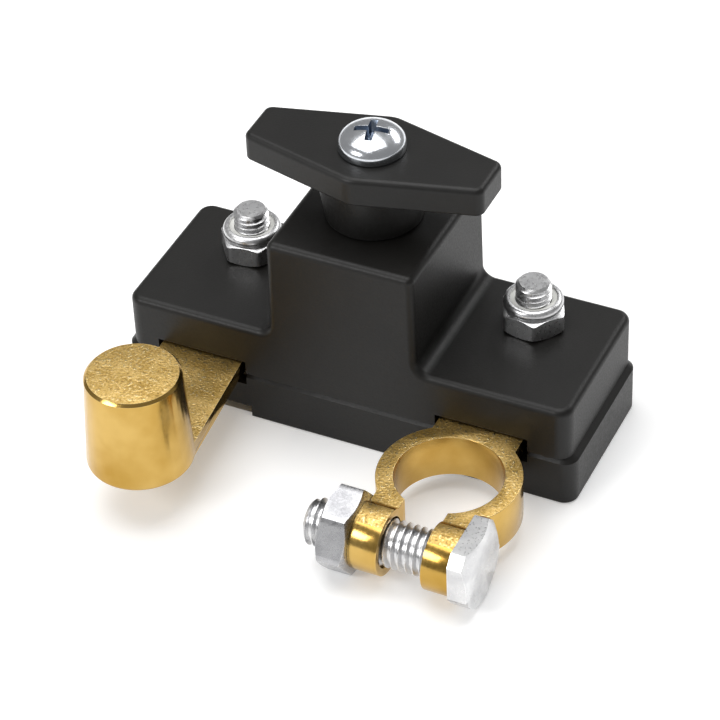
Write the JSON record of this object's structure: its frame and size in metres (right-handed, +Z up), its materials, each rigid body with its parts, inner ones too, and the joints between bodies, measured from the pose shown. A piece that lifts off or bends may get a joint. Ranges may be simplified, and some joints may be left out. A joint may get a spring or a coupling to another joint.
{
  "type": "rotary battery isolator switch",
  "caption": "Rotary battery isolator: T-handle on a black moulded housing, tapered brass output post, split brass clamp ring and two threaded studs.",
  "frame": {"origin": "centre of the flat underside of the base tray", "axes": "+X from the post side to the clamp side, +Y to the back of the housing away from the two terminals, +Z up along the spindle"},
  "size_m": [0.082, 0.0625, 0.0553],
  "materials": {
    "housing_plastic": "fine moulded satin",
    "knob_plastic": "fine moulded satin",
    "carrier_nylon": "moulded",
    "cast_brass": "sand cast, polished on worn faces",
    "zinc_steel": "zinc plated",
    "spring_steel": "plain",
    "contact_copper": "drawn copper alloy",
    "bush_bronze": "sintered bronze",
    "insert_nylon": "natural nylon",
    "seal_rubber": "matte"
  },
  "bodies": {
    "housing": {"base_tray": "housing_plastic", "upper_cover": "housing_plastic", "base_screws": "zinc_steel", "pivot_bush": "bush_bronze", "spindle_bush": "bush_bronze", "thrust_washer": "zinc_steel", "post_terminal": "cast_brass", "clamp_terminal": "cast_brass", "left_contact_jaw": "contact_copper", "right_contact_jaw": "contact_copper", "left_jaw_rivets": "cast_brass", "right_jaw_rivets": "cast_brass", "left_stud": "zinc_steel", "right_stud": "zinc_steel", "left_spacer_sleeve": "cast_brass", "right_spacer_sleeve": "cast_brass"},
    "selector": {"knob": "knob_plastic", "knob_screw": "zinc_steel", "knob_lock_washer": "spring_steel", "spindle": "zinc_steel", "spindle_o_ring": "seal_rubber", "blade_carrier": "carrier_nylon", "drive_pin": "zinc_steel", "knife_blade": "contact_copper", "spring_seat": "zinc_steel", "pressure_spring": "spring_steel"},
    "clamp_bolt": {"clamp_bolt": "zinc_steel"},
    "clamp_nut": {"clamp_nut": "zinc_steel"},
    "left_nut_insert": {"left_nut_insert": "insert_nylon"},
    "left_nut": {"left_lock_nut": "zinc_steel"},
    "right_nut_insert": {"right_nut_insert": "insert_nylon"},
    "right_nut": {"right_lock_nut": "zinc_steel"}
  },
  "joints": [
    {"name": "selector_turn", "type": "hinge", "parent": "housing", "child": "selector", "pos_m": [0, 0, 0.0384], "axis": [0, 0, 1], "range_deg": [0, 90]},
    {"name": "clamp_bolt_turn", "type": "hinge", "parent": "housing", "child": "clamp_bolt", "pos_m": [0.0328, -0.0405, 0.0071], "axis": [1, 0, 0], "range_deg": [0, 432]},
    {"name": "clamp_nut_slide", "type": "slide", "parent": "housing", "child": "clamp_nut", "axis": [-1, 0, 0], "range_m": [0, 0.0015]},
    {"name": "left_nut_rise", "type": "slide", "parent": "housing", "child": "left_nut_insert", "axis": [0, 0, 1], "range_m": [0, 0.0021]},
    {"name": "left_nut_turn", "type": "hinge", "parent": "left_nut_insert", "child": "left_nut", "pos_m": [-0.02585, 0.0053, 0.0193], "axis": [0, 0, 1], "range_deg": [0, 756]},
    {"name": "right_nut_rise", "type": "slide", "parent": "housing", "child": "right_nut_insert", "axis": [0, 0, 1], "range_m": [0, 0.0021]},
    {"name": "right_nut_turn", "type": "hinge", "parent": "right_nut_insert", "child": "right_nut", "pos_m": [0.02585, 0.0053, 0.0193], "axis": [0, 0, 1], "range_deg": [0, 756]}
  ],
  "couplings": [
    {"joint": "clamp_bolt_turn", "follows": "clamp_nut_slide", "rad_per_m": 5026.5},
    {"joint": "left_nut_turn", "follows": "left_nut_rise", "rad_per_m": 6283.1},
    {"joint": "right_nut_turn", "follows": "right_nut_rise", "rad_per_m": 6283.1}
  ]
}
